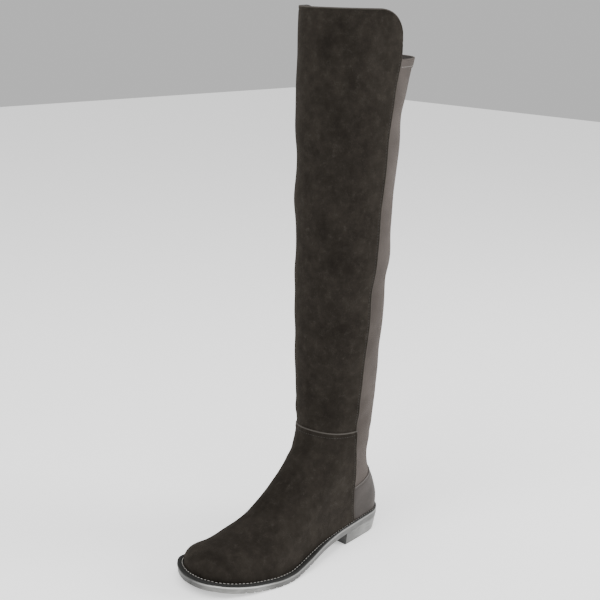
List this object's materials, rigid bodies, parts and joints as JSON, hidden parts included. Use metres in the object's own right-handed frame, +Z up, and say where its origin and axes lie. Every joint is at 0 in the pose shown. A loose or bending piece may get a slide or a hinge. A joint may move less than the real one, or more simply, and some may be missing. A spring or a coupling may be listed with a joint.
{
  "type": "thigh high boot",
  "caption": "Flat thigh high boot with a tall front panel, a lower back collar, a heel counter, a low block heel and a lugged rubber sole.",
  "frame": {"origin": "on the floor, under the heel's flat bottom, 30 mm behind the heel's straight front", "axes": "+Z up along the shaft, -Y from heel to toe, +X towards the wearer's left, which is the outer side of this left boot"},
  "size_m": [0.1151, 0.2889, 0.5905],
  "materials": {
    "suede": "napped",
    "stretch_cloth": "matte",
    "counter_leather": "smooth, satin",
    "insole_board": "matte",
    "welt_rubber": "matte",
    "sole_rubber": "satin",
    "heel_stack": "satin"
  },
  "bodies": {
    "root": {"upper": "stretch_cloth", "vamp": "suede", "shaft_front": "suede", "counter": "counter_leather", "insole": "insole_board", "welt": "welt_rubber", "outsole": "sole_rubber", "heel": "heel_stack"}
  },
  "joints": []
}
